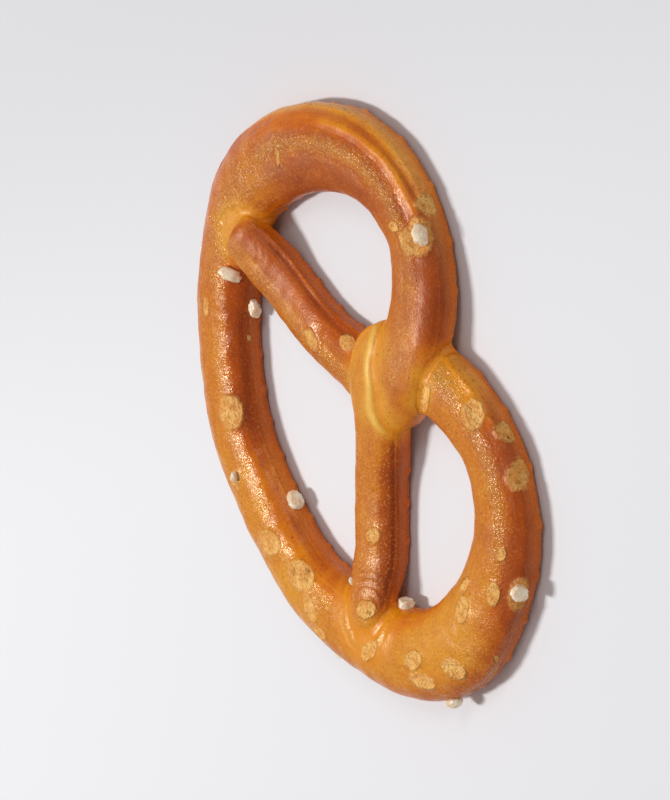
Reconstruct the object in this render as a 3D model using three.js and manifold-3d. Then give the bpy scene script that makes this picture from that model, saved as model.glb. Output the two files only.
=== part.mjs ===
// A small crunchy pretzel: one thin rope of dough, crossed twice, its two
// ends pressed onto the belly, salted and baked hard on a wire mesh.
// Millimetres, +Z up. It lies flat on its baked base with the salted side up.
// The origin is the middle of its outline on the plane that it rests on,
// +X runs from the small loop to the large loop, +Y from the belly to the loops.
import * as THREE from 'three';
import { mergeVertices } from 'three/addons/utils/BufferGeometryUtils.js';
import Module from 'manifold-3d';

const wasm = await Module();
wasm.setup();

// Driving dimensions of the rope.
const HEIGHT_TO_WIDTH = 0.485; // the rope is about half as high as it is wide
const EDGE_HEIGHT = 0.4; // where the rope is widest, as a part of its height
const BASE_WIDTH = 0.87; // flat base, as a part of the rope's width
const RIM_WIDTH = 0.97; // just above the base, as a part of the rope's width
const RIM_HEIGHT = 0.17; // where that is, as a part of the rope's height
const DOME_SQUARENESS = 0.93; // 1 is an ellipse, less is a fuller shoulder
const DOME_STEPS = 12; // facets over the dome
const RING_STEP = 1.15; // distance between two rings of the rope
const ROUTE_DIVISIONS = 2000; // for measuring distances along the route
const SAME_POINT = 1e-5;

// Small teeth that the baking mesh leaves round the base.
const TOOTH_PITCH = 3.45;
const TOOTH_DEPTH = 0.22;
const TOOTH_SHARPNESS = 4;

// The rounded tips of the rope.
const TIP_RINGS = 5;
const TIP_LENGTH = 2.0;
const TIP_BLUNTNESS = 0.35; // part of a ring step left off the point, for the cap

// Coarse salt: distance along the rope, angle round it (0 is the edge on the
// right hand of the way along it, 90 the crest), then the size along the rope,
// across it and outward.
const SALT_CHIPPING = 0.35;
const SALT_PROUD = 0.12; // how far out a crystal's middle stands, as a part of its thickness
const SALT_SEED = 41;
const RANDOM_FACTOR = 16807;
const RANDOM_MODULUS = 2147483647;
const SALT = [
  [45.7, 157, 1.6, 1.5, 1.1],
  [57.3, 174, 1.5, 1.2, 1.0],
  [61.8, -8, 1.5, 1.2, 1.0],
  [70.0, 182, 1.4, 1.1, 0.9],
  [81.3, 0, 1.7, 1.3, 1.1],
  [86.4, 91, 0.9, 0.7, 0.6],
  [92.5, 180, 1.5, 1.3, 1.0],
  [101.3, -6, 1.7, 1.3, 1.1],
  [104.2, 50, 1.25, 2.0, 1.0],
  [104.0, 184, 1.3, 1.2, 0.9],
  [137.3, 133, 1.75, 1.45, 1.0],
  [3.1, 129, 0.7, 0.6, 0.5],
];

// The rope's middle line: x, y, how high its base is lifted, and its width.
// It starts at the tip that lies on the belly below the large loop.
const LARGE_SIDE = [
  [16.7, -2.8, 1.85, 4.3],
  [14.8, -2.2, 1.1, 5.0],
  [12.4, -1.4, 0.2, 5.4],
  [9.5, -0.2, 0, 5.5],
  [6.1, 1.5, 0.1, 5.5],
  [2.1, 4.3, 0.7, 5.6],
  [-1.3, 6.3, 1.4, 5.7],
  [-2.8, 8.0, 1.15, 5.9],
  [-2.1, 10.3, 0.8, 6.0],
  [0.1, 12.6, 0.3, 6.1],
  [3.3, 15.0, 0, 6.0],
  [7.6, 16.5, 0, 6.1],
  [12.8, 15.5, 0, 6.3],
  [17.1, 11.9, 0, 6.8],
  [20.0, 7.1, 0, 7.5],
  [20.6, 2.0, 0, 7.5],
  [18.7, -3.6, 0, 7.5],
  [13.8, -10.6, 0, 7.1],
  [7.3, -14.3, 0, 6.8],
];
const BELLY_MIDDLE = [-0.8, -16.1, 0, 6.9];
const SMALL_SIDE = [
  [-15.9, -6.4, 1.75, 4.9],
  [-13.9, -5.5, 0.9, 5.3],
  [-11.5, -4.4, 0.2, 5.4],
  [-9.0, -3.0, 0, 5.4],
  [-6.1, -0.7, 0, 5.3],
  [-3.4, 2.2, 0, 5.4],
  [-1.0, 4.9, 0.15, 5.7],
  [-0.1, 7.8, 0.8, 6.1],
  [-1.8, 10.5, 1.3, 6.3],
  [-4.8, 12.7, 0.6, 6.3],
  [-7.9, 13.9, 0.25, 6.2],
  [-10.8, 14.2, 0, 6.1],
  [-13.5, 13.7, 0, 6.3],
  [-16.6, 12.0, 0, 6.6],
  [-19.5, 8.0, 0, 7.1],
  [-20.9, 1.5, 0, 7.3],
  [-19.8, -5.3, 0, 7.2],
  [-15.8, -10.3, 0, 6.9],
  [-9.2, -14.2, 0, 6.8],
];
const STATIONS = [...LARGE_SIDE, BELLY_MIDDLE, ...SMALL_SIDE.toReversed()];

// The rope is made in three lengths, because a sweep must not cross itself.
const LOOP_TOP = 12; // stations from a tip to the far end of its loop
const LARGE_LOOP_TOP = LOOP_TOP;
const SMALL_LOOP_TOP = STATIONS.length - 1 - LOOP_TOP;

const route = new THREE.CatmullRomCurve3(
  STATIONS.map(([x, y, lift]) => new THREE.Vector3(x, y, lift)), false, 'catmullrom');
route.arcLengthDivisions = ROUTE_DIVISIONS;
const widths = new THREE.CatmullRomCurve3(
  STATIONS.map(([, , , width]) => new THREE.Vector3(width, 0, 0)), false, 'catmullrom');
const ropeLength = route.getLength();

// One half turn over the dome, from base corner to base corner, across and up
// in parts of the half width and of the height.
function sectionShape() {
  const dome = [];
  for (let step = 0; step <= DOME_STEPS; step += 1) {
    const angle = Math.PI * step / DOME_STEPS;
    const across = Math.sign(Math.cos(angle)) * Math.abs(Math.cos(angle)) ** DOME_SQUARENESS;
    const up = EDGE_HEIGHT + (1 - EDGE_HEIGHT) * Math.sin(angle) ** DOME_SQUARENESS;
    dome.push([across, up, 0]);
  }
  const right = [[BASE_WIDTH, 0, 1], [RIM_WIDTH, RIM_HEIGHT, 1]];
  const left = [[-RIM_WIDTH, RIM_HEIGHT, 1], [-BASE_WIDTH, 0, 1]];
  return [...right, ...dome, ...left];
}
const SECTION = sectionShape();

function ringAt(t, shrink = 1, reach = 0) {
  const middle = route.getPoint(t);
  const tangent = route.getTangent(t).setZ(0).normalize();
  const across = new THREE.Vector3(tangent.y, -tangent.x, 0);
  const width = widths.getPoint(t).x;
  const height = width * HEIGHT_TO_WIDTH;
  const along = ropeLength * arcAt(t);
  middle.addScaledVector(tangent, reach);
  const wave = Math.max(0, Math.cos(2 * Math.PI * along / TOOTH_PITCH));
  const tooth = TOOTH_DEPTH * wave ** TOOTH_SHARPNESS;
  return SECTION.map(([side, up, rim]) => {
    const out = (side * width / 2 + Math.sign(side) * rim * tooth) * shrink;
    const low = middle.z + height * (EDGE_HEIGHT + (up - EDGE_HEIGHT) * shrink);
    return new THREE.Vector3(middle.x, middle.y, 0).addScaledVector(across, out).setZ(low);
  });
}

// Share of the rope's length that lies before the curve parameter t.
function arcAt(t) {
  const lengths = route.getLengths();
  const place = t * (lengths.length - 1);
  const index = Math.min(Math.floor(place), lengths.length - 2);
  const share = THREE.MathUtils.lerp(lengths[index], lengths[index + 1], place - index);
  return share / ropeLength;
}

// A closed skin through the rings, with both ends capped.
function loft(rings) {
  const count = rings[0].length;
  const positions = rings.flat();
  const indices = [];
  for (let row = 0; row + 1 < rings.length; row += 1) {
    for (let column = 0; column < count; column += 1) {
      const next = (column + 1) % count;
      const [a, b] = [row * count + column, row * count + next];
      indices.push(a, a + count, b, b, a + count, b + count);
    }
  }
  for (const [row, flip] of [[0, false], [rings.length - 1, true]]) {
    const centre = new THREE.Vector3();
    rings[row].forEach((point) => centre.addScaledVector(point, 1 / count));
    positions.push(centre);
    for (let column = 0; column < count; column += 1) {
      const [a, b] = [row * count + column, row * count + (column + 1) % count];
      indices.push(...(flip ? [positions.length - 1, b, a] : [positions.length - 1, a, b]));
    }
  }
  const geometry = new THREE.BufferGeometry().setFromPoints(positions);
  geometry.setIndex(indices);
  return geometry;
}

// The part of the rope between two stations, with a rounded tip where asked.
function ropeBetween(first, last, tipAtFirst, tipAtLast) {
  const [from, to] = [first, last].map((station) => station / (STATIONS.length - 1));
  const steps = Math.round((arcAt(to) - arcAt(from)) * ropeLength / RING_STEP);
  const rings = [];
  for (let step = 0; step <= steps; step += 1) {
    const share = THREE.MathUtils.lerp(arcAt(from), arcAt(to), step / steps);
    const t = step === 0 ? from : step === steps ? to : route.getUtoTmapping(share);
    rings.push(ringAt(t));
  }
  for (let step = 1; step <= TIP_RINGS; step += 1) {
    const angle = (Math.PI / 2) * (step / (TIP_RINGS + TIP_BLUNTNESS));
    const reach = TIP_LENGTH * Math.sin(angle);
    if (tipAtFirst) rings.unshift(ringAt(from, Math.cos(angle), -reach));
    if (tipAtLast) rings.push(ringAt(to, Math.cos(angle), reach));
  }
  return loft(rings);
}

function toSolid(geometry) {
  const bare = geometry.clone();
  bare.deleteAttribute('normal');
  bare.deleteAttribute('uv');
  const merged = mergeVertices(bare, SAME_POINT);
  return new wasm.Manifold(new wasm.Mesh({
    numProp: 3,
    vertProperties: new Float32Array(merged.attributes.position.array),
    triVerts: new Uint32Array(merged.index.array),
  }));
}

function toGeometry(solid) {
  const mesh = solid.getMesh();
  const geometry = new THREE.BufferGeometry();
  geometry.setAttribute('position', new THREE.BufferAttribute(mesh.vertProperties, 3));
  geometry.setIndex(new THREE.BufferAttribute(mesh.triVerts, 1));
  return geometry;
}

// Point on the rope's skin: distance along it in mm, angle round it in degrees,
// where 0 is the edge on the right hand of the way along it and 90 is the crest.
function skinPoint(along, around, outward) {
  const t = route.getUtoTmapping(along / ropeLength);
  const middle = route.getPoint(t);
  const tangent = route.getTangent(t).setZ(0).normalize();
  const width = widths.getPoint(t).x;
  const angle = THREE.MathUtils.degToRad(around);
  const height = width * HEIGHT_TO_WIDTH;
  const rise = Math.sin(angle) > 0 ? (1 - EDGE_HEIGHT) * height : EDGE_HEIGHT * height;
  const across = Math.cos(angle) * (width / 2 + outward);
  const up = EDGE_HEIGHT * height + Math.sin(angle) * (rise + outward);
  return new THREE.Vector3(tangent.y, -tangent.x, 0).multiplyScalar(across)
    .add(new THREE.Vector3(middle.x, middle.y, middle.z + up));
}

// A repeatable stream of numbers between 0 and 1.
function randomStream(seed) {
  let state = seed;
  return () => {
    state = (state * RANDOM_FACTOR) % RANDOM_MODULUS;
    return state / RANDOM_MODULUS;
  };
}
const random = randomStream(SALT_SEED);

// One rough salt crystal, mostly above the skin.
function saltCrystal([along, around, length, width, thickness]) {
  const crystal = new THREE.IcosahedronGeometry(0.5, 0);
  const corners = crystal.attributes.position;
  const chipped = new Map();
  for (let corner = 0; corner < corners.count; corner += 1) {
    const point = new THREE.Vector3().fromBufferAttribute(corners, corner);
    const key = point.toArray().map((value) => value.toFixed(3)).join();
    if (!chipped.has(key)) chipped.set(key, 1 + SALT_CHIPPING * (random() - 0.5));
    corners.setXYZ(corner, ...point.multiplyScalar(chipped.get(key)).toArray());
  }
  crystal.scale(length, width, thickness);
  const foot = skinPoint(along, around, 0);
  const outward = skinPoint(along, around, 1).sub(foot).normalize();
  const forward = route.getTangent(route.getUtoTmapping(along / ropeLength));
  const sideways = outward.clone().cross(forward).normalize();
  forward.crossVectors(sideways, outward);
  crystal.applyMatrix4(new THREE.Matrix4().makeBasis(forward, sideways, outward));
  const seat = foot.addScaledVector(outward, thickness * SALT_PROUD);
  crystal.translate(seat.x, seat.y, seat.z);
  return crystal;
}

const lengths = [
  ropeBetween(0, LARGE_LOOP_TOP, true, false),
  ropeBetween(LARGE_LOOP_TOP, SMALL_LOOP_TOP, false, false),
  ropeBetween(SMALL_LOOP_TOP, STATIONS.length - 1, false, true),
];
const pieces = [...lengths, ...SALT.map(saltCrystal)];
const dough = pieces.map(toSolid).reduce((whole, piece) => whole.add(piece));

const geometry = toGeometry(dough);
geometry.computeBoundingBox();
const centre = geometry.boundingBox.getCenter(new THREE.Vector3());
geometry.translate(-centre.x, -centre.y, -geometry.boundingBox.min.z);

const pretzel = new THREE.Mesh(geometry, new THREE.MeshStandardMaterial({
  color: 0xb5651d, roughness: 0.42, metalness: 0,
}));
pretzel.name = 'pretzel';

const model = new THREE.Group();
model.add(pretzel);
export default model;
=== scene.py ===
import math

import bpy
import numpy as np
from mathutils import Matrix, Vector, noise


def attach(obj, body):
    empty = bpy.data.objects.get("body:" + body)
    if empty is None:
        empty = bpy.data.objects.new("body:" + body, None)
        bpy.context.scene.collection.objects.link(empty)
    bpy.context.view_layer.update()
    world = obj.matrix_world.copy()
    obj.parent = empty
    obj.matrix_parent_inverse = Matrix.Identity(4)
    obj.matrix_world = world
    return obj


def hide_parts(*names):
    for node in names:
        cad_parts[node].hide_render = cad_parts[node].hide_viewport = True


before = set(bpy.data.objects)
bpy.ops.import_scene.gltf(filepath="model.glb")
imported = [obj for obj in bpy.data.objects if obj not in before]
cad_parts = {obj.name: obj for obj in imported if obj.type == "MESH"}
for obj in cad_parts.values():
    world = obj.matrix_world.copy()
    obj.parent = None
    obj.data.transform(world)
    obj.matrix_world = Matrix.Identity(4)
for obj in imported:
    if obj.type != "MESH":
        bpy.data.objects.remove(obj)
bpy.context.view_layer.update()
MM = 0.001

# The camera looks at the salted side from 35 degrees above the plane that the pretzel
# lies in, and is rolled on its side, so that the small loop is up in the picture.
CAMERA_PLACE = Vector((6.11, 200.99, 143.40)) * MM
CAMERA_RIGHT = Vector((0.2532, 0.5491, -0.7965))
CAMERA_UP = Vector((-0.9670, 0.1685, -0.1912))
CAMERA_LENS = 138.4
bpy.ops.object.camera_add()
camera = bpy.context.object
camera.name = "camera"
camera_back = CAMERA_RIGHT.cross(CAMERA_UP).normalized()
camera_up = camera_back.cross(CAMERA_RIGHT).normalized()
camera_turn = Matrix((CAMERA_RIGHT.normalized(), camera_up, camera_back)).transposed().to_4x4()
camera.matrix_world = Matrix.Translation(CAMERA_PLACE) @ camera_turn
camera.data.lens = CAMERA_LENS
camera.data.clip_start = 0.01
bpy.context.scene.camera = camera

# The dough: one thin rope of wheat dough, rolled, crossed twice, its ends pressed onto the
# belly, dipped in lye and baked hard on a wire mesh. The lye bath gives the brown glaze; the
# pale rough spots are where salt has fallen off, and the base has small teeth from the mesh.
LARGE_SIDE = [  # x, y, lift of the base and width in mm, from the tip below the large loop
    (16.7, -2.8, 1.85, 4.3), (14.8, -2.2, 1.1, 5.0), (12.4, -1.4, 0.2, 5.4),
    (9.5, -0.2, 0, 5.5), (6.1, 1.5, 0.1, 5.5), (2.1, 4.3, 0.7, 5.6),
    (-1.3, 6.3, 1.4, 5.7), (-2.8, 8.0, 1.15, 5.9), (-2.1, 10.3, 0.8, 6.0),
    (0.1, 12.6, 0.3, 6.1), (3.3, 15.0, 0, 6.0), (7.6, 16.5, 0, 6.1),
    (12.8, 15.5, 0, 6.3), (17.1, 11.9, 0, 6.8), (20.0, 7.1, 0, 7.5),
    (20.6, 2.0, 0, 7.5), (18.7, -3.6, 0, 7.5), (13.8, -10.6, 0, 7.1), (7.3, -14.3, 0, 6.8),
]
BELLY_MIDDLE = (-0.8, -16.1, 0, 6.9)
SMALL_SIDE = [  # the same, from the tip below the small loop
    (-15.9, -6.4, 1.75, 4.9), (-13.9, -5.5, 0.9, 5.3), (-11.5, -4.4, 0.2, 5.4),
    (-9.0, -3.0, 0, 5.4), (-6.1, -0.7, 0, 5.3), (-3.4, 2.2, 0, 5.4),
    (-1.0, 4.9, 0.15, 5.7), (-0.1, 7.8, 0.8, 6.1), (-1.8, 10.5, 1.3, 6.3),
    (-4.8, 12.7, 0.6, 6.3), (-7.9, 13.9, 0.25, 6.2), (-10.8, 14.2, 0, 6.1),
    (-13.5, 13.7, 0, 6.3), (-16.6, 12.0, 0, 6.6), (-19.5, 8.0, 0, 7.1),
    (-20.9, 1.5, 0, 7.3), (-19.8, -5.3, 0, 7.2), (-15.8, -10.3, 0, 6.9), (-9.2, -14.2, 0, 6.8),
]
ROUTE_TO_BOX = (-0.183, 0.035, 0.021)  # the part's origin is the middle of its whole outline
HEIGHT_TO_WIDTH = 0.485
EDGE_HEIGHT = 0.4
BASE_WIDTH = 0.87
RIM_WIDTH = 0.97
RIM_HEIGHT = 0.17
DOME_SQUARENESS = 0.93
DOME_STEPS = 24
ROUTE_STEPS = 14
TIP_LENGTH = 2.0
TIP_STEPS = 7
TIP_BLUNTNESS = 0.35
SKIN_INSET = 0.03
VOXEL = 0.19
SMOOTHING = 5
CREASE_REACH = 2.2
CREASE_SMOOTHING = 30


def rope_route():
    """The rope's middle line as rows of x, y, lift and width, its distances, and its side."""
    stations = np.array(LARGE_SIDE + [BELLY_MIDDLE] + SMALL_SIDE[::-1], dtype=float)
    before, after = 2 * stations[0] - stations[1], 2 * stations[-1] - stations[-2]
    padded = np.vstack([before, stations, after])
    rows = []
    for a, b, c, d in zip(padded, padded[1:], padded[2:], padded[3:]):
        for step in range(ROUTE_STEPS):
            t = step / ROUTE_STEPS
            rows.append(0.5 * (2 * b + (c - a) * t + (2 * a - 5 * b + 4 * c - d) * t ** 2
                               + (3 * b - a - 3 * c + d) * t ** 3))
    rows.append(stations[-1])
    rows = np.array(rows)
    tips = []
    for end, inner in ((rows[0], rows[1]), (rows[-1], rows[-2])):
        way = (end[:2] - inner[:2]) / np.linalg.norm(end[:2] - inner[:2])
        tip = []
        for step in range(1, TIP_STEPS + 1):
            angle = math.pi / 2 * step / (TIP_STEPS + TIP_BLUNTNESS)
            place = end[:2] + way * TIP_LENGTH * math.sin(angle)
            rise = end[3] * HEIGHT_TO_WIDTH * EDGE_HEIGHT * (1 - math.cos(angle))
            tip.append((*place, end[2] + rise, end[3] * math.cos(angle)))
        tips.append(np.array(tip))
    whole = np.vstack([tips[0][::-1], rows, tips[1]])
    whole[:, :3] += ROUTE_TO_BOX
    steps = np.linalg.norm(np.diff(whole[:, :3], axis=0), axis=1)
    distance = np.concatenate([[0], np.cumsum(steps)])
    distance -= distance[TIP_STEPS]
    way = np.gradient(whole[:, :2], axis=0)
    way /= np.linalg.norm(way, axis=1)[:, None]
    return whole, distance, way


route, distance, way = rope_route()
rope_length = distance[-1 - TIP_STEPS]
side_way = np.stack([way[:, 1], -way[:, 0]], axis=1)


def pick(piece):
    """Make one object the only one selected, and the active one."""
    bpy.ops.object.select_all(action="DESELECT")
    piece.select_set(True)
    bpy.context.view_layer.objects.active = piece


def drawn_line(name, points, radii, closed):
    """A curve through points in metres, drawn on a new path."""
    bpy.ops.object.select_all(action="DESELECT")
    bpy.ops.curve.primitive_nurbs_path_add()
    line = bpy.context.object
    line.name = name
    spline = line.data.splines[0]
    spline.points.add(len(points) - len(spline.points))
    for place, radius, point in zip(points, radii, spline.points):
        point.co = (*place, 1)
        point.radius = radius
    spline.type = "POLY"
    spline.use_cyclic_u = closed
    return line


def remeshed(piece, name, voxel):
    """Make the active piece one closed skin of small cells."""
    cells = piece.modifiers.new(name, "REMESH")
    cells.mode = "VOXEL"
    cells.voxel_size = voxel
    cells.adaptivity = 0
    bpy.ops.object.modifier_apply(modifier=cells.name)


def smoothed(piece, name, rounds, group=""):
    """Even out the active piece, everywhere or as a vertex group says."""
    ease = piece.modifiers.new(name, "SMOOTH")
    ease.factor = 0.5
    ease.iterations = rounds
    ease.vertex_group = group
    bpy.ops.object.modifier_apply(modifier=ease.name)


def skin_of(piece):
    """The places of a piece's points in mm, and which way is outward there."""
    flat = np.empty(len(piece.data.vertices) * 3, dtype=np.float32)
    piece.data.vertices.foreach_get("co", flat)
    places = flat.reshape(-1, 3).astype(float) / MM
    piece.data.vertex_normals.foreach_get("vector", flat)
    return places, flat.reshape(-1, 3).astype(float)


dome = []
for step in range(DOME_STEPS + 1):
    angle = math.pi * step / DOME_STEPS
    out = math.copysign(abs(math.cos(angle)) ** DOME_SQUARENESS, math.cos(angle))
    dome.append((out, EDGE_HEIGHT + (1 - EDGE_HEIGHT) * math.sin(angle) ** DOME_SQUARENESS))
corners = [(BASE_WIDTH, 0), (RIM_WIDTH, RIM_HEIGHT), *dome, (-RIM_WIDTH, RIM_HEIGHT), (-BASE_WIDTH, 0)]
section_points = [(out / 2, up * HEIGHT_TO_WIDTH, 0) for out, up in corners]
section = drawn_line("section", section_points, [1] * len(corners), True)
rope_line = drawn_line("dough", route[:, :3] * MM, (route[:, 3] - 2 * SKIN_INSET) * MM, False)
rope_line.data.dimensions = "3D"
rope_line.data.twist_mode = "Z_UP"
rope_line.data.bevel_mode = "OBJECT"
rope_line.data.bevel_object = section
rope_line.data.use_fill_caps = True
pick(rope_line)
bpy.ops.object.convert(target="MESH")
dough = bpy.context.object
bpy.data.objects.remove(section)

# The crossings grow together in the oven, so the rope becomes one skin.
remeshed(dough, "one skin", VOXEL * MM)
smoothed(dough, "eased", SMOOTHING)
skin, outward = skin_of(dough)
count = len(skin)

# Each point of the skin finds its own place along the rope and round it.
REACH = 5.5  # no point of the skin is further than this from its own middle line
OTHER_LENGTH = 9.0  # points further apart than this along the rope are on another strand
ROW_REACH = 0.4  # a row of the route stands for this much rope to each side of it
FAR = 9.0
WALL_WEIGHT = 0.5
FORWARD_WEIGHT = 0.35
TOO_LOW = -1.3


def sections_near(row):
    """Points near one place on the route, with how far along, out and up they lie from it."""
    middle = route[row]
    near = np.flatnonzero(np.abs(skin[:, :2] - middle[:2]).max(axis=1) < REACH)
    away = skin[near, :2] - middle[:2]
    forward = away @ way[row]
    half = middle[3] / 2
    out = (away @ side_way[row]) / half
    over = (skin[near, 2] - middle[2]) / (middle[3] * HEIGHT_TO_WIDTH) - EDGE_HEIGHT
    up = np.where(over > 0, over / (1 - EDGE_HEIGHT), over / EDGE_HEIGHT)
    return near, forward, out, up, half


along = np.zeros(count)
around = np.zeros(count)
width = np.zeros(count)
misfit = np.full(count, np.inf)
for row in range(len(route)):
    near, forward, out, up, half = sections_near(row)
    off_wall = np.abs(np.abs(out) - 1) * WALL_WEIGHT
    off = np.where(up > 0, np.abs(np.hypot(out, up) - 1), off_wall)
    score = off + FORWARD_WEIGHT * np.abs(forward) + (up < TOO_LOW)
    better = score < misfit[near]
    chosen = near[better]
    misfit[chosen] = score[better]
    along[chosen] = distance[row] + forward[better]
    around[chosen] = np.degrees(np.arctan2(up[better], out[better]))
    width[chosen] = 2 * half
around = np.where(around < -90, around + 360, around)
girth = np.radians(around - 90) * width / 2
edge_angle = np.minimum(around, 180 - around)

gap = np.full(count, FAR)  # how far each point is from the other strand
for row in range(0, len(route), 2):
    near, forward, out, up, half = sections_near(row)
    other = np.abs(distance[row] - along[near]) > OTHER_LENGTH
    near, forward, out, up = near[other], forward[other], out[other], up[other]
    skin_gap = np.maximum(np.hypot(out, np.maximum(up, 0)) - 1, 0) * half
    apart = np.hypot(skin_gap, np.maximum(np.abs(forward) - ROW_REACH, 0))
    gap[near] = np.minimum(gap[near], apart)

# Dough fills the crease wherever two strands touch.
creases = dough.vertex_groups.new(name="creases")
for index in np.flatnonzero(gap < CREASE_REACH):
    creases.add([int(index)], float(1 - gap[index] / CREASE_REACH), "REPLACE")
pick(dough)
smoothed(dough, "filled creases", CREASE_SMOOTHING, creases.name)
skin, outward = skin_of(dough)


def cloud(points, size, seed):
    """Soft noise between about -1 and 1, with lumps of the given size in mm."""
    shift = Vector((seed * 7.3, seed * 3.1, seed * 5.7))
    return np.array([noise.noise(Vector(point) / size + shift) for point in points])


def bell(value, middle, spread):
    """1 at the middle, falling to nothing on both sides."""
    return np.exp(-((value - middle) / spread) ** 2)


def ramp(value, low, high):
    """0 at low and 1 at high, eased between."""
    share = np.clip((value - low) / (high - low), 0, 1)
    return share * share * (3 - 2 * share)


def between(value, low, full_from, full_to, high):
    """0 outside low and high, 1 in the middle part, eased between."""
    return ramp(value, low, full_from) * ramp(value, high, full_to)


def skin_steps(place, angle):
    """How far along the rope and round it each point is from one place, in mm."""
    return along - place, np.radians(around - angle) * width / 2


def painted(places, length_edge=2.5, angle_edge=9):
    """Soft-edged places on the skin: from and to along the rope, from and to round it, strength."""
    total = np.zeros(count)
    for start, end, low_angle, high_angle, strength in places:
        lengthwise = between(along, start - length_edge, start + length_edge,
                             end - length_edge, end + length_edge)
        crosswise = between(around, low_angle - angle_edge, low_angle + angle_edge,
                            high_angle - angle_edge, high_angle + angle_edge)
        total += strength * lengthwise * crosswise
    return total


# Where salt has fallen off: along the rope, round it, length, width, turn in degrees, how rough
SCARS = [
    (91.4, 62, 3.1, 2.7, 0, 0.5), (85.7, 97, 1.9, 1.3, -50, 0.6), (79.4, 86, 2.8, 2.1, 50, 0.6),
    (74.7, 66, 3.6, 2.4, 15, 1.0), (72.4, 94, 2.4, 1.6, -45, 0.4), (70.9, 121, 1.7, 1.3, 25, 0.4),
    (1.1, 70, 2.2, 1.5, -85, 0.9), (64.1, 91, 2.7, 1.2, 45, 0.8), (58.4, 89, 2.3, 1.4, 15, 0.7),
    (58.2, 118, 2.5, 1.4, -20, 0.8), (54.3, 120, 2.3, 1.5, -60, 0.8), (49.7, 79, 2.2, 1.4, 15, 0.5),
    (46.4, 116, 1.8, 1.2, 10, 0.6), (43.3, 115, 1.1, 0.8, -40, 0.5), (38.2, 167, 3.1, 1.7, -80, 1.0),
    (35.7, 169, 2.3, 1.3, 80, 0.7), (33.6, 129, 2.4, 1.9, -70, 0.6), (29.3, 74, 2.9, 1.1, -88, 0.3),
    (157.9, 47, 1.7, 1.4, 35, 0.4), (161.7, 97, 1.9, 1.3, -30, 0.4), (135.7, 168, 2.5, 1.3, 85, 0.8),
    (137.4, 129, 2.9, 2.3, -80, 0.7), (137.5, 104, 1.9, 1.2, 20, 0.6), (135.9, 88, 1.2, 0.8, 60, 0.4),
    (7.4, 71, 1.6, 1.2, -60, 0.4), (51.2, 162, 0.9, 0.4, 60, 0.5), (53.6, 182, 3.8, 0.7, 0, 1.0),
    (100.4, 98, 1.6, 0.8, 0, 0.5), (120.0, 88, 1.7, 0.5, 75, 0.2), (98.2, 8, 0.8, 0.6, 0, 0.4),
    (45.7, 160, 2.4, 2.2, 0, 0.5), (48.0, 61, 1.9, 0.9, -20, 0.5),
]
SCAR_REACH = 4
RAGGED = 0.10
NOISE_TURN = np.array(Matrix.Rotation(0.7, 3, (1, 2, 3)))  # keeps the noise's cells off the axes
ragged = cloud(skin @ NOISE_TURN, 0.75, 1)
scar = np.full(count, FAR)  # 1 on the edge of the nearest scar
scar_rough = np.zeros(count)
for place, angle, length, breadth, turn, rough in SCARS:
    forward, across = skin_steps(place, angle)
    c, s = math.cos(math.radians(turn)), math.sin(math.radians(turn))
    lengthwise = forward * c + across * s
    crosswise = across * c - forward * s
    ring = np.hypot(2 * lengthwise / length, 2 * crosswise / breadth) + RAGGED * ragged
    ring = np.where(np.abs(across) > SCAR_REACH, FAR, ring)
    closer = ring < scar
    scar = np.where(closer, ring, scar)
    scar_rough = np.where(closer, rough, scar_rough)

# Lengthwise folds that the rolling and the bending left in the skin: from and to along the
# rope, angle round it, height in mm, half width in degrees
FOLDS = [
    (125, 137, 134, 0.13, 8), (122, 138, 151, -0.07, 7), (124, 139, 117, -0.10, 8),
    (118, 140, 101, 0.06, 8), (20, 35, 150, 0.19, 7), (27, 36, 168, -0.08, 5),
    (155, 170, 17, 0.12, 4), (154, 172, 32, -0.12, 7), (2, 19, 27, -0.12, 4), (3, 19, 16, 0.07, 6),
    (72, 100, 24, -0.09, 10), (76, 104, 6, 0.05, 8), (38, 56, 160, 0.05, 9),
    (140, 148, 150, -0.06, 8), (104, 120, 140, -0.06, 9),
]
FOLD_END = 2
FOLD_WANDER = 3
FOLD_WAVE = 3.1
folds = np.zeros(count)
for start, end, angle, high, spread in FOLDS:
    wander = FOLD_WANDER * np.sin(along / FOLD_WAVE + angle)
    lengthwise = between(along, start - FOLD_END, start + FOLD_END, end - FOLD_END, end + FOLD_END)
    folds += high * lengthwise * bell(around, angle + wander, spread)

# Low lumps of the baked skin: height and size in mm, and the noise's number
LUMPS = [(0.075, 4.2, 2), (0.06, 1.7, 3), (0.03, 0.75, 8)]
STREAK_HEIGHT = 0.03
STREAK_STRETCH = 9
VALLEY_WIDTH = 0.8
valley = np.exp(-gap / VALLEY_WIDTH)
open_skin = 1 - ramp(valley, 0.15, 0.5)
relief = sum(high * cloud(skin, size, seed) for high, size, seed in LUMPS)
streak_place = np.stack([along / STREAK_STRETCH, girth, np.zeros(count)], axis=1)
relief += STREAK_HEIGHT * cloud(streak_place, 0.45, 4) * ramp(edge_angle, 50, 20)
relief += open_skin * folds

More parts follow.
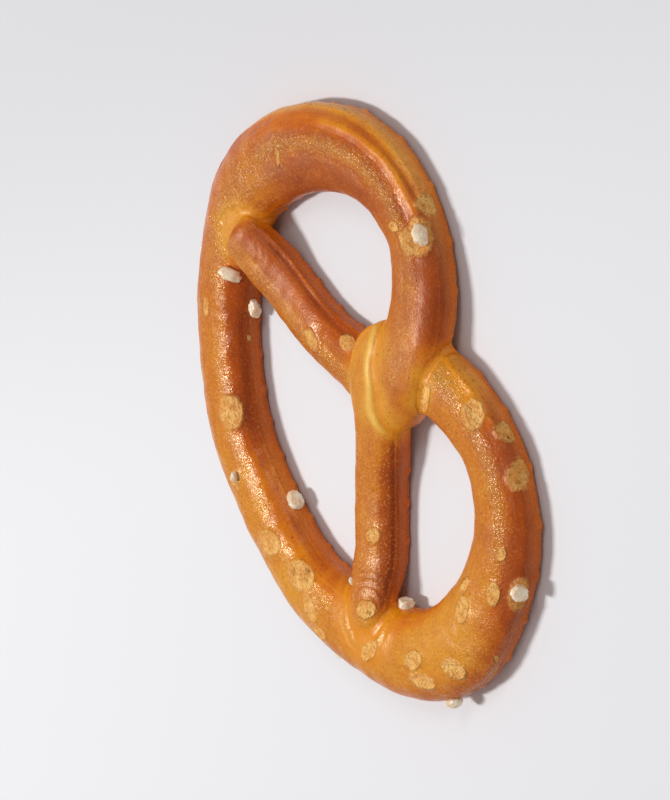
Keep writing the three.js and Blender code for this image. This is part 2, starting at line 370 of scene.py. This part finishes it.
# Each tip sank into the strand under it, which rose round it in rings: distance, width, share.
# The skin of the tips is curled too: along the rope, round it, height.
TIP_RINGS = [(0.5, 0.2, 1.0), (0.9, 0.2, -0.6), (1.3, 0.2, 0.5)]
RING_HEIGHT = 0.05
SECOND_RING_SHARE = 0.3
CURLS = [(1.4, 70, 0.04), (rope_length - 1.4, 90, 0.012)]
CURL_PITCH = 0.7
CURL_START = 1.45
FIRST_SEAT = (56, 72)
SECOND_SEAT = (98, 112)
first_seat = (along > FIRST_SEAT[0]) & (along < FIRST_SEAT[1])
second_seat = (along > SECOND_SEAT[0]) & (along < SECOND_SEAT[1])
tip_rings = sum(share * bell(gap, apart, spread) for apart, spread, share in TIP_RINGS)
relief += RING_HEIGHT * tip_rings * (first_seat + SECOND_RING_SHARE * second_seat)
for place, angle, high in CURLS:
    away = np.hypot(*skin_steps(place, angle))
    relief += high * np.cos(2 * math.pi * (away - CURL_START) / CURL_PITCH) * bell(away, 1.8, 0.8)

# A scar is a shallow rough crater with a low rim, and some hold a pit: along, round, size.
CRATER_DEPTH = 0.05
CRATER_RIM = 0.07
CRATER_GRAIN = 0.05
PIT_DEPTH = 0.3
PITS = [
    (74.4, 52, 0.26), (73.9, 66, 0.18), (75.6, 74, 0.16), (85.3, 99, 0.2), (38.6, 160, 0.14),
    (33.2, 128, 0.12), (36.1, 171, 0.12), (46.0, 118, 0.1), (135.2, 172, 0.12), (91.8, 58, 0.12),
    (58.6, 86, 0.1), (0.9, 60, 0.12),
]
crater = ramp(scar, 1.05, 0.75)
relief += CRATER_RIM * bell(scar, 1.04, 0.15) - CRATER_DEPTH * crater
relief += crater * (0.3 + scar_rough) * CRATER_GRAIN * cloud(skin, 0.26, 5)
pitted = np.zeros(count)
for place, angle, size in PITS:
    away = np.hypot(*skin_steps(place, angle))
    relief -= PIT_DEPTH * bell(away, 0, size)
    pitted = np.maximum(pitted, bell(away, 0, 0.8 * size))

# At the crossing the lower strand bulges out in a lip beside the upper one.
LIP_HEIGHT = 0.15
LIP_ALONG = (14, 17, 23, 26)
LIP_AROUND = (40, 62, 140, 170)
lip = bell(gap, 0.7, 0.29) * between(along, *LIP_ALONG) * between(around, *LIP_AROUND)
relief += LIP_HEIGHT * lip
relief *= ramp(skin[:, 2], 0.02, 0.4)  # the base stays flat
skin += outward * relief[:, None]

# How pale the creases are: most round the first tip, less at the second and at the crossing.
CROSSING_ALONG = (141, 145, 155, 158)
SECOND_SEAT_ALONG = (94, 98, 110, 114)
second_tip = between(along, *SECOND_SEAT_ALONG) + ramp(along, 160, 164)
crease = np.maximum(valley, 0.75 * bell(gap, 1.3, 1.0) * first_seat)
crease = crease * (1 - 0.6 * second_tip) * (1 - 0.75 * between(along, *CROSSING_ALONG))

# How dark each place has baked, with painted shade on walls that face away from the light and
# painted light where the skin gets little; where the glaze lies deep and the skin is blistered,
# dull, shiny or pale: from and to along the rope, from and to round it, strength
BAKED_AND_SHADED = [
    (88, 107, -40, 58, 0.42), (74, 88, -40, 45, -0.08), (2, 16, -40, 58, 0.42),
    (34, 48, 122, 200, 0.30), (44, 56, 150, 200, 0.22), (136, 145, 118, 200, 0.42),
    (152, 172, -40, 40, 0.20), (155, 178, 40, 85, 0.24), (116, 134, 150, 200, -0.45),
    (118, 150, 45, 128, 0.14), (22, 33, 118, 200, -0.46), (50, 78, 0, 130, -0.16),
    (44, 58, 20, 112, -0.12), (72, 92, 55, 150, -0.14), (16, 25, 40, 200, -0.22),
    (144, 157, 10, 190, -0.10), (104, 118, 20, 50, 0.15), (62, 76, -40, 20, 0.10),
    (118, 134, 10, 84, 0.26), (-2, 3, -40, 40, 0.12),
]
DEEP = [
    (60, 77, -10, 62, 0.9), (77, 106, 22, 60, 0.8), (118, 141, 108, 150, 0.9),
    (22, 34, 128, 168, 0.8), (32, 50, 118, 172, 0.8), (136, 146, 105, 185, 0.8),
    (152, 174, 12, 72, 0.8), (52, 62, 10, 50, 0.8), (104, 120, 108, 160, 0.7), (0, 14, 20, 50, 0.3),
    (6, 20, -40, 20, 0.2),
]
BLISTERED = [
    (118, 140, 92, 114, 1.0), (104, 120, 60, 125, 0.6), (24, 31, 112, 144, 1.0),
    (30, 44, 96, 124, 0.7), (66, 104, 54, 84, 0.2), (152, 174, 92, 120, 0.7),
    (120, 140, 158, 200, 0.4), (22, 34, 166, 200, 0.4), (48, 60, 150, 195, 0.35),
    (138, 152, 60, 110, 0.4), (44, 56, 112, 140, 0.2), (0, 20, 60, 130, 0.15),
]
MATTE = [
    (137, 153, 50, 180, 1.0), (116, 136, 10, 84, 0.7), (96, 116, 120, 200, 0.4),
    (16, 26, 60, 200, 0.5), (46, 60, 20, 90, 0.4), (35, 48, 126, 186, 0.8), (120, 139, 122, 160, 0.7),
    (163, 178, 20, 110, 1.0),
]
GLOSSY = [
    (60, 106, 46, 90, 1.0), (26, 46, 90, 132, 1.0), (106, 120, 80, 112, 0.6),
    (155, 170, 75, 110, 0.8),
]
# Pale places: partly lightly baked skin, partly painted light on walls that get little light.
PALE_AND_LIT = [
    (115, 137, 158, 215, 0.5), (20, 34, 160, 205, 0.4), (52, 62, -40, 5, 0.3),
    (68, 100, 150, 200, 0.25),
]
EVEN_BAKE = 0.32
# Painted shade: the walls are darker where they face away from the light.
WALL_SHADE = 0.12
VALLEY_PALER = 0.35
# Ridges are paler where the skin is stretched and as painted highlight; grooves darker as painted shade.
FOLD_LIGHT_AND_SHADE = 1.2
RIDGE_STRETCH_AND_HIGHLIGHT = 0.8
# The baked tone, with painted shade on the walls and painted light and shade from the folds.
bake_and_shade = EVEN_BAKE + WALL_SHADE * ramp(edge_angle, 58, 22)
bake_and_shade += 0.10 * cloud(skin, 5.5, 9) + 0.07 * cloud(skin, 1.6, 10)
bake_and_shade += painted(BAKED_AND_SHADED, angle_edge=14) - VALLEY_PALER * ramp(valley, 0.1, 0.6)
bake_and_shade -= FOLD_LIGHT_AND_SHADE * folds + RIDGE_STRETCH_AND_HIGHLIGHT * np.maximum(folds, 0)
deep = painted(DEEP) + 0.15 * cloud(skin, 2.4, 11) + 0.6 * ramp(edge_angle, 40, 15)
blistered = painted(BLISTERED) * (0.75 + 0.5 * cloud(skin, 1.9, 12))

# The baking mesh leaves small teeth round the base.
TOOTH_PITCH = 3.45
TOOTH_DEPTH = 0.2
TOOTH_SHARPNESS = 6
TOOTH_MIDDLE = 0.35
TOOTH_TALL = 0.32
TOOTH_SHIFT = 0.5
SHIFT_STRETCH = 4
sides = np.stack([along / SHIFT_STRETCH, np.sign(girth), np.zeros(count)], axis=1)
tooth_place = along + TOOTH_SHIFT * cloud(sides, 1.0, 6)
tooth = np.maximum(0, np.cos(2 * math.pi * tooth_place / TOOTH_PITCH)) ** TOOTH_SHARPNESS
low = bell(skin[:, 2], TOOTH_MIDDLE, TOOTH_TALL) * (edge_angle < 10) * open_skin
level_length = np.maximum(np.linalg.norm(outward[:, :2], axis=1), 0.3)
skin[:, :2] += outward[:, :2] / level_length[:, None] * (TOOTH_DEPTH * tooth * low)[:, None]

# The material reads how each point has baked, with its painted light and shade, from its attributes.
dough.data.vertices.foreach_set("co", (skin * MM).astype(np.float32).ravel())
point_values = {
    "valley": crease, "seam": valley, "lip": lip, "scar": np.clip(scar / 2, 0, 1),
    "edge": edge_angle / 90, "low": skin[:, 2], "bake_and_shade": bake_and_shade, "deep": np.clip(deep, 0, 1),
    "blistered": np.clip(blistered, 0, 1), "matte": np.clip(painted(MATTE), 0, 1),
    "pitted": pitted, "glossy": np.clip(painted(GLOSSY) + lip, 0, 1),
    "pale": np.clip(painted(PALE_AND_LIT, 4, 16), 0, 1),
}
for name, values in point_values.items():
    layer = dough.data.attributes.new(name, "FLOAT", "POINT")
    layer.data.foreach_set("value", values.astype(np.float32))
layer = dough.data.attributes.new("rope", "FLOAT_VECTOR", "POINT")
rope_values = np.stack([along, girth, np.zeros(count)], axis=1)
layer.data.foreach_set("vector", rope_values.astype(np.float32).ravel())
pick(dough)
bpy.ops.object.shade_smooth()


def new_material(name):
    """A new material and its main shader."""
    material = bpy.data.materials.new(name)
    material.use_nodes = True
    return material, material.node_tree.nodes["Principled BSDF"]


def new_node(material, kind, inputs=(), **settings):
    """A node with its settings made and its inputs set or linked."""
    tree = material.node_tree
    node = tree.nodes.new(kind)
    for name, value in settings.items():
        setattr(node, name, value)
    for key, value in dict(inputs).items():
        if isinstance(value, bpy.types.NodeSocket):
            tree.links.new(value, node.inputs[key])
        else:
            node.inputs[key].default_value = value
    return node


def shade(red, green, blue):
    """A colour as it looks on a screen, 0 to 255, made linear."""
    parts = [value / 255 for value in (red, green, blue)]
    linear = [v / 12.92 if v <= 0.04045 else ((v + 0.055) / 1.055) ** 2.4 for v in parts]
    return (*linear, 1)


def mix_of(material, factor, first, second):
    """The first colour where the factor is 0, the second where it is 1."""
    return new_node(material, "ShaderNodeMix", {0: factor, 6: first, 7: second},
                    data_type="RGBA").outputs[2]


def eased(material, value, low, high):
    """0 below low and 1 above high, eased between."""
    return new_node(material, "ShaderNodeMapRange",
                    {"Value": value, "From Min": low, "From Max": high},
                    interpolation_type="SMOOTHSTEP").outputs["Result"]


def tone_row(material, value, tones):
    """A row of colours over a value from 0 to 1."""
    node = new_node(material, "ShaderNodeValToRGB", {"Fac": value})
    stops = node.color_ramp.elements
    while len(stops) < len(tones):
        stops.new(0.5)
    for stop, (position, rgb) in zip(stops, tones):
        stop.position = position
        stop.color = shade(*rgb)
    return node.outputs["Color"]


crust, crust_shader = new_material("baked crust")


def attribute(name, output="Fac"):
    return new_node(crust, "ShaderNodeAttribute", attribute_name=name).outputs[output]


def maths(operation, first, second):
    return new_node(crust, "ShaderNodeMath", {0: first, 1: second}, operation=operation).outputs[0]


def plus(first, second):
    return maths("ADD", first, second)


def minus(first, second):
    return maths("SUBTRACT", first, second)


def times(first, second):
    return maths("MULTIPLY", first, second)


def shares(value, low, high):
    return eased(crust, value, low, high)


def stretched(vector, along_rope, round_rope):
    """The place along the rope and round it, each stretched by its own number."""
    return new_node(crust, "ShaderNodeVectorMath", {0: vector, 1: (along_rope, round_rope, 1)},
                    operation="MULTIPLY").outputs[0]


object_place = new_node(crust, "ShaderNodeTexCoord").outputs["Object"]
rope_place = attribute("rope", "Vector")


def fine(scale, detail, where=object_place):
    """Noise between 0 and 1."""
    return new_node(crust, "ShaderNodeTexNoise",
                    {"Vector": where, "Scale": scale, "Detail": detail}).outputs["Fac"]


def laid(under, where, amount, rgb):
    """A colour laid over what is under it, where a share from 0 to 1 says."""
    return mix_of(crust, times(where, amount), under, shade(*rgb))


patchy = fine(620, 4)
grain = fine(5200, 2)
streaks = fine(1.0, 4, stretched(rope_place, 0.16, 3.2))
specks = new_node(crust, "ShaderNodeTexVoronoi", {"Vector": object_place, "Scale": 1150.0})
cracks = new_node(crust, "ShaderNodeTexVoronoi",
                  {"Vector": stretched(rope_place, 3.6, 5.6), "Scale": 1.0},
                  feature="DISTANCE_TO_EDGE")
bake_and_shade_tone = attribute("bake_and_shade")
deep_share = attribute("deep")
blister_share = attribute("blistered")
matte_share = attribute("matte")
edge = attribute("edge")
valley_share = attribute("valley")
off_seam = shares(attribute("seam"), 0.75, 0.5)
# The net of fine cracks also carries pale pink painted glints in the colour.
net_line = times(shares(cracks.outputs["Distance"], 0.16, 0.02), blister_share)

# The skin goes from golden through caramel to a dark red brown as it bakes.
DULL_TONES = [(0.0, (220, 145, 32)), (0.3, (203, 115, 14)), (0.6, (176, 81, 8)), (1.0, (138, 52, 6))]
GLAZED_TONES = [(0.0, (230, 142, 8)), (0.3, (212, 108, 4)), (0.6, (182, 76, 3)), (1.0, (146, 52, 3))]
tone = plus(bake_and_shade_tone, times(minus(patchy, 0.5), 0.55))
tone = plus(tone, times(minus(streaks, 0.5), times(off_seam, 0.35)))
colour = mix_of(crust, deep_share, tone_row(crust, tone, DULL_TONES), tone_row(crust, tone, GLAZED_TONES))

# Laid over it, from the lowest up: where, how strongly, and the colour
plain_grain = maths("MAXIMUM", times(deep_share, 0.32), times(matte_share, 0.3))
layers = [
    (attribute("pale"), 1.0, (244, 168, 66)),  # lightly baked edges, and painted light where the skin gets little light
    (net_line, 0.34, (252, 200, 142)),  # net of fine cracks in the blistered skin, laid pale pink as painted glints
    (shares(grain, 0.54, 0.68), minus(0.42, plain_grain), (242, 172, 92)),  # pale grain
    (shares(grain, 0.46, 0.32), 0.32, (150, 66, 18)),  # dark grain
    (shares(specks.outputs["Distance"], 0.14, 0.05), 0.6, (100, 44, 12)),  # dark specks
    (shares(valley_share, 0.25, 0.95), 0.75, (226, 134, 0)),  # unglazed dough in the creases
    (shares(edge, 0.25, -0.2), 0.4, (238, 116, 12)),  # low walls, laid a brighter orange as painted light lifting their shade
    (shares(attribute("low"), 0.4, 0.12), 0.25, (150, 72, 26)),  # rim of the base, darkened as painted shade where the skin turns under
]
for where, amount, rgb in layers:
    colour = laid(colour, where, amount, rgb)

# The scars are pale and crumbly, darker where the crust round them is baked or painted darker.
scar_edge = plus(attribute("scar"), times(minus(fine(2300, 3), 0.5), 0.20))
scar_share = shares(scar_edge, 0.62, 0.42)
scar_colour = mix_of(crust, shares(fine(1300, 2), 0.35, 0.65), shade(250, 194, 110), shade(234, 162, 78))
scar_colour = laid(scar_colour, shares(bake_and_shade_tone, 0.35, 0.8), 0.4, (216, 134, 54))
scar_colour = laid(scar_colour, shares(fine(4600, 3), 0.5, 0.64), 0.5, (172, 98, 32))
colour = mix_of(crust, times(scar_share, 0.92), colour, scar_colour)
# The lip is laid pale yellow: partly its golden skin, partly a painted highlight along it.
colour = laid(colour, attribute("lip"), 0.62, (250, 204, 96))
# The pits are laid dark brown: painted shade in the holes.
colour = laid(colour, attribute("pitted"), 0.85, (104, 46, 12))
crust.node_tree.links.new(colour, crust_shader.inputs["Base Color"])

# The glaze is smoother where it is deep, blistered or glossy, and rougher in scars and creases.
PLAIN_ROUGHNESS = 0.25
roughness = PLAIN_ROUGHNESS
for where, change in (
    (scar_share, 0.34), (shares(patchy, 0.35, 0.7), 0.12), (deep_share, -0.05),
    (blister_share, -0.14), (shares(valley_share, 0.1, 0.6), 0.15),
    (attribute("glossy"), -0.07), (matte_share, 0.16),
):
    roughness = plus(times(where, change), roughness)
crust.node_tree.links.new(roughness, crust_shader.inputs["Roughness"])
crust_shader.inputs["Specular Tint"].default_value = (1.0, 0.85, 0.6, 1)

# Relief too fine for the mesh: pattern and how strong it is
BUMP_HEIGHT = 0.00009
height = 0.0
for pattern, strength in (
    (grain, plus(times(blister_share, 0.9), 0.3)), (fine(2400, 2), times(blister_share, 2.2)),
    (net_line, 0.5), (fine(3400, 3), times(scar_share, 3.0)),
    (streaks, times(shares(edge, 0.5, 0.1), 0.8)), (patchy, 0.5),
):
    height = plus(times(pattern, strength), height)
bump = new_node(crust, "ShaderNodeBump",
                {"Height": times(height, off_seam), "Strength": 1.0, "Distance": BUMP_HEIGHT})
crust.node_tree.links.new(bump.outputs["Normal"], crust_shader.inputs["Normal"])
dough.data.materials.clear()
dough.data.materials.append(crust)
dough.name = "dough"
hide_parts("pretzel")
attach(dough, "root")

# The salt: coarse rock salt, scattered on the wet dough before baking. Broken ivory-white
# crystals with flat faces, a little see-through, each baked into the skin.
SALT = [  # along the rope, round it, length, width, thickness
    (45.7, 157, 1.4, 1.35, 1.1), (57.3, 174, 1.5, 1.2, 1.0), (61.8, -6, 1.5, 1.1, 1.2),
    (70.0, 182, 1.4, 1.1, 0.9), (81.3, 0, 1.7, 1.3, 1.1), (85.9, 93, 0.85, 0.75, 0.75),
    (92.5, 180, 1.5, 1.3, 1.0), (101.3, -6, 1.7, 1.3, 1.1), (104.2, 50, 1.25, 2.0, 1.0),
    (104.0, 184, 1.3, 1.2, 0.9), (137.3, 133, 1.8, 1.15, 1.0), (3.1, 129, 0.7, 0.6, 0.5),
]
SALT_PROUD = 0.12
CRYSTAL_RADIUS = 0.55
CLEAVES = 9
CLEAVE_DEPTHS = (0.36, 0.5)
CRYSTAL_TURN = 0.3
CRYSTAL_VOXEL = 0.055
CRYSTAL_SMOOTHING = 4
LUMPS_TO_CRYSTAL = 4.5
LUMP_SHARES = (0.12, 0.05)  # large and small lumps
chance = np.random.default_rng(41)


def row_at(place):
    """The row of the route nearest to a place along the rope."""
    return int(np.argmin(np.abs(distance - place)))


def skin_point(place, angle, lift):
    """A point on the rope's skin in mm, or lifted off it."""
    row = row_at(place)
    x, y, base, wide = route[row]
    high = wide * HEIGHT_TO_WIDTH
    c, s = math.cos(math.radians(angle)), math.sin(math.radians(angle))
    rise = (1 - EDGE_HEIGHT) * high if s > 0 else EDGE_HEIGHT * high
    out = c * (wide / 2 + lift)
    up = EDGE_HEIGHT * high + s * (rise + lift)
    return Vector((x + side_way[row][0] * out, y + side_way[row][1] * out, base + up))


crystals = []
for place, angle, length, breadth, thick in SALT:
    foot = skin_point(place, angle, 0)
    facing = (skin_point(place, angle, 1) - foot).normalized()
    bpy.ops.object.select_all(action="DESELECT")
    bpy.ops.mesh.primitive_ico_sphere_add(subdivisions=3, radius=CRYSTAL_RADIUS)
    crystal = bpy.context.object
    bpy.ops.object.mode_set(mode="EDIT")
    for cleave in range(CLEAVES):
        cut = chance.normal(size=3)
        cut /= np.linalg.norm(cut)
        bpy.ops.mesh.select_all(action="SELECT")
        bpy.ops.mesh.bisect(plane_co=cut * chance.uniform(*CLEAVE_DEPTHS), plane_no=cut,
                            use_fill=True, clear_outer=True)
    bpy.ops.object.mode_set(mode="OBJECT")
    remeshed(crystal, "worn", CRYSTAL_VOXEL)
    smoothed(crystal, "softened", CRYSTAL_SMOOTHING)
    for point in crystal.data.vertices:
        here = point.co * LUMPS_TO_CRYSTAL + Vector((place, angle, 0))
        large, small = noise.noise(here), noise.noise(here * 3)
        point.co *= 1 + LUMP_SHARES[0] * large + LUMP_SHARES[1] * small
    bpy.ops.object.shade_smooth()
    forward = Vector((*way[row_at(place)], 0))
    sideways = facing.cross(forward).normalized()
    turned = Matrix((sideways.cross(facing), sideways, facing)).transposed().to_4x4()
    spun = Matrix.Rotation(chance.uniform(-CRYSTAL_TURN, CRYSTAL_TURN), 4, "Z")
    sized = Matrix.Diagonal((length * MM, breadth * MM, thick * MM, 1))
    seat = Matrix.Translation((foot + facing * thick * SALT_PROUD) * MM)
    crystal.data.transform(seat @ turned @ spun @ sized)
    crystals.append(crystal)
pick(crystals[0])
for crystal in crystals:
    crystal.select_set(True)
bpy.ops.object.join()
salt = bpy.context.object
salt.name = "salt"

SALT_TONES = [(0.35, (228, 196, 158)), (0.6, (246, 228, 202))]
rock_salt, salt_shader = new_material("salt crystal")
salt_place = new_node(rock_salt, "ShaderNodeTexCoord").outputs["Object"]
salt_cloud = new_node(rock_salt, "ShaderNodeTexNoise", {"Vector": salt_place, "Scale": 1400})
salt_tone = tone_row(rock_salt, salt_cloud.outputs["Fac"], SALT_TONES)
rock_salt.node_tree.links.new(salt_tone, salt_shader.inputs["Base Color"])
salt_shader.inputs["Roughness"].default_value = 0.35
salt_shader.inputs["Subsurface Weight"].default_value = 0.7
salt_shader.inputs["Subsurface Radius"].default_value = (1.0, 0.9, 0.8)
salt_shader.inputs["Subsurface Scale"].default_value = 0.0006
salt.data.materials.clear()
salt.data.materials.append(rock_salt)
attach(salt, "root")

# The set: a pale floor with painted shade that darkens it a little towards the top of the picture,
# a long soft light from the picture's left, a weaker one from above and behind the camera, and an
# even grey surround.
FLOOR_SIZE = 3
FLOOR_DROP = 0.00002
# Painted shade: the floor's colour darkens towards the top of the picture.
FLOOR_SHADE_FADE = (-0.045, 0.005)  # from and to along X, in metres
FLOOR_TONES = [shade(214, 213, 216), shade(231, 230, 232)]
bpy.ops.object.select_all(action="DESELECT")
bpy.ops.mesh.primitive_plane_add(size=FLOOR_SIZE, location=(0, 0, -FLOOR_DROP))
floor = bpy.context.object
floor.name = "floor"
floor_paint, floor_shader = new_material("floor")
floor_place = new_node(floor_paint, "ShaderNodeTexCoord").outputs["Object"]
floor_x = new_node(floor_paint, "ShaderNodeSeparateXYZ", {"Vector": floor_place}).outputs["X"]
floor_tone = mix_of(floor_paint, eased(floor_paint, floor_x, *FLOOR_SHADE_FADE), *FLOOR_TONES)
floor_paint.node_tree.links.new(floor_tone, floor_shader.inputs["Base Color"])
floor_shader.inputs["Roughness"].default_value = 0.9
floor.data.materials.append(floor_paint)


def soft_light(name, right, up, back, size, power):
    """An area light placed in the picture's own directions, in metres, aimed at the middle."""
    spot = camera_up * up + CAMERA_RIGHT * right + camera_back * back
    bpy.ops.object.light_add(type="AREA", location=spot)
    light = bpy.context.object
    light.name = name
    light.data.shape = "RECTANGLE"
    light.data.size, light.data.size_y = size
    light.data.energy = power
    light.rotation_euler = spot.to_track_quat("Z", "Y").to_euler()


soft_light("key", -0.46, -0.08, 0.09, (0.05, 0.12), 1.6)
soft_light("front", -0.16, 0.22, 0.42, (0.16, 0.16), 0.35)

world = bpy.data.worlds.new("surround")
bpy.context.scene.world = world
world.use_nodes = True
world.node_tree.nodes["Background"].inputs["Color"].default_value = (0.98, 0.98, 1.0, 1)
world.node_tree.nodes["Background"].inputs["Strength"].default_value = 0.32
bpy.context.scene.view_settings.view_transform = "Standard"
